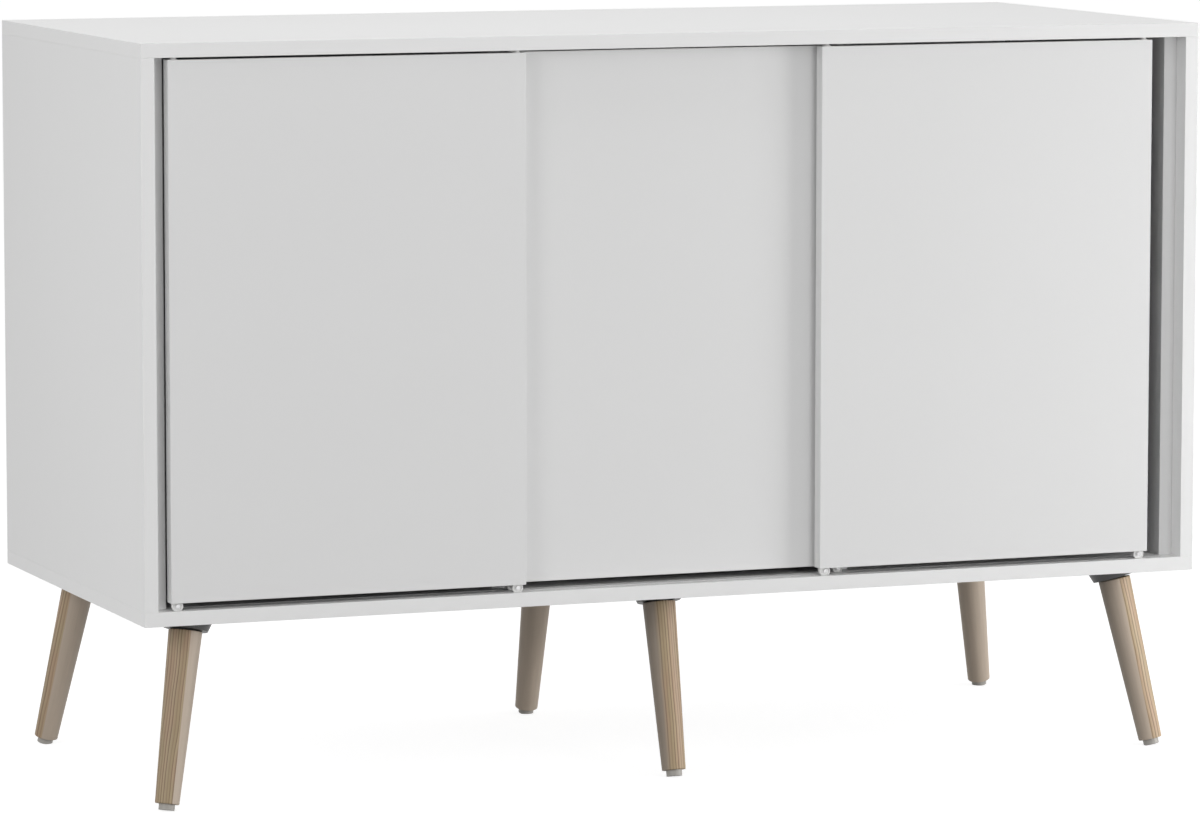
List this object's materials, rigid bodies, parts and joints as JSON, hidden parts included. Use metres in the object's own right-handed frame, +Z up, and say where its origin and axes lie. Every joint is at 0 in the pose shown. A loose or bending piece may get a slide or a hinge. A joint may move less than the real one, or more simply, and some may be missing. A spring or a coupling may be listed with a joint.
{
  "type": "sliding door cabinet",
  "caption": "Low white sideboard cabinet with plain sliding doors on parallel tracks, shelved compartments and splayed tapered wooden legs.",
  "frame": {"origin": "on the floor, below the middle of the carcass", "axes": "+X along the width, to the right as seen from the front; +Y from the front to the back; +Z up"},
  "size_m": [1.2, 0.515, 0.798],
  "materials": {
    "white_board": "white melamine on particle board, satin",
    "back_board": "white faced hardboard",
    "leg_wood": "turned ash, oiled greyish brown",
    "dowel_wood": "plain beech",
    "bracket_plastic": "dark grey moulded",
    "glider_plastic": "light grey moulded",
    "track_plastic": "light grey extruded",
    "fitting_plastic": "white moulded",
    "steel": "zinc plated",
    "cast_zinc": "die-cast zinc, dull"
  },
  "bodies": {
    "carcass": {"back_joining_strip": "track_plastic", "back_panel_left": "back_board", "back_panel_right": "back_board", "bottom_panel": "white_board", "bottom_track_front": "track_plastic", "bottom_track_rear": "track_plastic", "bracket_inserts": "steel", "bracket_screws": "steel", "cam_bolts": "steel", "cam_locks": "cast_zinc", "divider_left": "white_board", "divider_right": "white_board", "filler_strip_left": "white_board", "filler_strip_right": "white_board", "foot_gliders": "glider_plastic", "glider_nails": "steel", "leg_bolts": "steel", "leg_bracket_front_left": "bracket_plastic", "leg_bracket_front_middle": "bracket_plastic", "leg_bracket_front_right": "bracket_plastic", "leg_bracket_rear_left": "bracket_plastic", "leg_bracket_rear_middle": "bracket_plastic", "leg_bracket_rear_right": "bracket_plastic", "leg_front_left": "leg_wood", "leg_front_middle": "leg_wood", "leg_front_right": "leg_wood", "leg_rear_left": "leg_wood", "leg_rear_middle": "leg_wood", "leg_rear_right": "leg_wood", "shelf_centre": "white_board", "shelf_left": "white_board", "shelf_pins": "steel", "shelf_right": "white_board", "side_panel_left": "white_board", "side_panel_right": "white_board", "top_channel_front": "track_plastic", "top_channel_rear": "track_plastic", "top_panel": "white_board", "track_end_stops": "track_plastic", "wood_dowels": "dowel_wood"},
    "left_door": {"left_door": "white_board", "left_door_axles": "steel", "left_door_roller_housings": "fitting_plastic", "left_door_top_guides": "fitting_plastic"},
    "centre_door": {"centre_door": "white_board", "centre_door_axles": "steel", "centre_door_roller_housings": "fitting_plastic", "centre_door_top_guides": "fitting_plastic"},
    "right_door": {"right_door": "white_board", "right_door_axles": "steel", "right_door_roller_housings": "fitting_plastic", "right_door_top_guides": "fitting_plastic"},
    "left_door_wheel_left": {"left_door_wheel_left": "fitting_plastic"},
    "left_door_wheel_right": {"left_door_wheel_right": "fitting_plastic"},
    "centre_door_wheel_left": {"centre_door_wheel_left": "fitting_plastic"},
    "centre_door_wheel_right": {"centre_door_wheel_right": "fitting_plastic"},
    "right_door_wheel_left": {"right_door_wheel_left": "fitting_plastic"},
    "right_door_wheel_right": {"right_door_wheel_right": "fitting_plastic"}
  },
  "joints": [
    {"name": "left_door_slide", "type": "slide", "parent": "carcass", "child": "left_door", "axis": [1, 0, 0], "range_m": [0, 0.167]},
    {"name": "centre_door_slide", "type": "slide", "parent": "carcass", "child": "centre_door", "axis": [1, 0, 0], "range_m": [-0.374, 0.374]},
    {"name": "right_door_slide", "type": "slide", "parent": "carcass", "child": "right_door", "axis": [1, 0, 0], "range_m": [-0.167, 0.024]},
    {"name": "left_door_wheel_left_turn", "type": "hinge", "parent": "left_door", "child": "left_door_wheel_left", "pos_m": [-0.562, -0.2482, 0.2175], "axis": [0, 1, 0], "continuous": true},
    {"name": "left_door_wheel_right_turn", "type": "hinge", "parent": "left_door", "child": "left_door_wheel_right", "pos_m": [-0.188, -0.2482, 0.2175], "axis": [0, 1, 0], "continuous": true},
    {"name": "centre_door_wheel_left_turn", "type": "hinge", "parent": "centre_door", "child": "centre_door_wheel_left", "pos_m": [-0.187, -0.2292, 0.2175], "axis": [0, 1, 0], "continuous": true},
    {"name": "centre_door_wheel_right_turn", "type": "hinge", "parent": "centre_door", "child": "centre_door_wheel_right", "pos_m": [0.187, -0.2292, 0.2175], "axis": [0, 1, 0], "continuous": true},
    {"name": "right_door_wheel_left_turn", "type": "hinge", "parent": "right_door", "child": "right_door_wheel_left", "pos_m": [0.164, -0.2482, 0.2175], "axis": [0, 1, 0], "continuous": true},
    {"name": "right_door_wheel_right_turn", "type": "hinge", "parent": "right_door", "child": "right_door_wheel_right", "pos_m": [0.538, -0.2482, 0.2175], "axis": [0, 1, 0], "continuous": true}
  ],
  "couplings": [
    {"joint": "left_door_wheel_left_turn", "follows": "left_door_slide", "rad_per_m": 166.67},
    {"joint": "left_door_wheel_right_turn", "follows": "left_door_slide", "rad_per_m": 166.67},
    {"joint": "centre_door_wheel_left_turn", "follows": "centre_door_slide", "rad_per_m": 166.67},
    {"joint": "centre_door_wheel_right_turn", "follows": "centre_door_slide", "rad_per_m": 166.67},
    {"joint": "right_door_wheel_left_turn", "follows": "right_door_slide", "rad_per_m": 166.67},
    {"joint": "right_door_wheel_right_turn", "follows": "right_door_slide", "rad_per_m": 166.67}
  ]
}
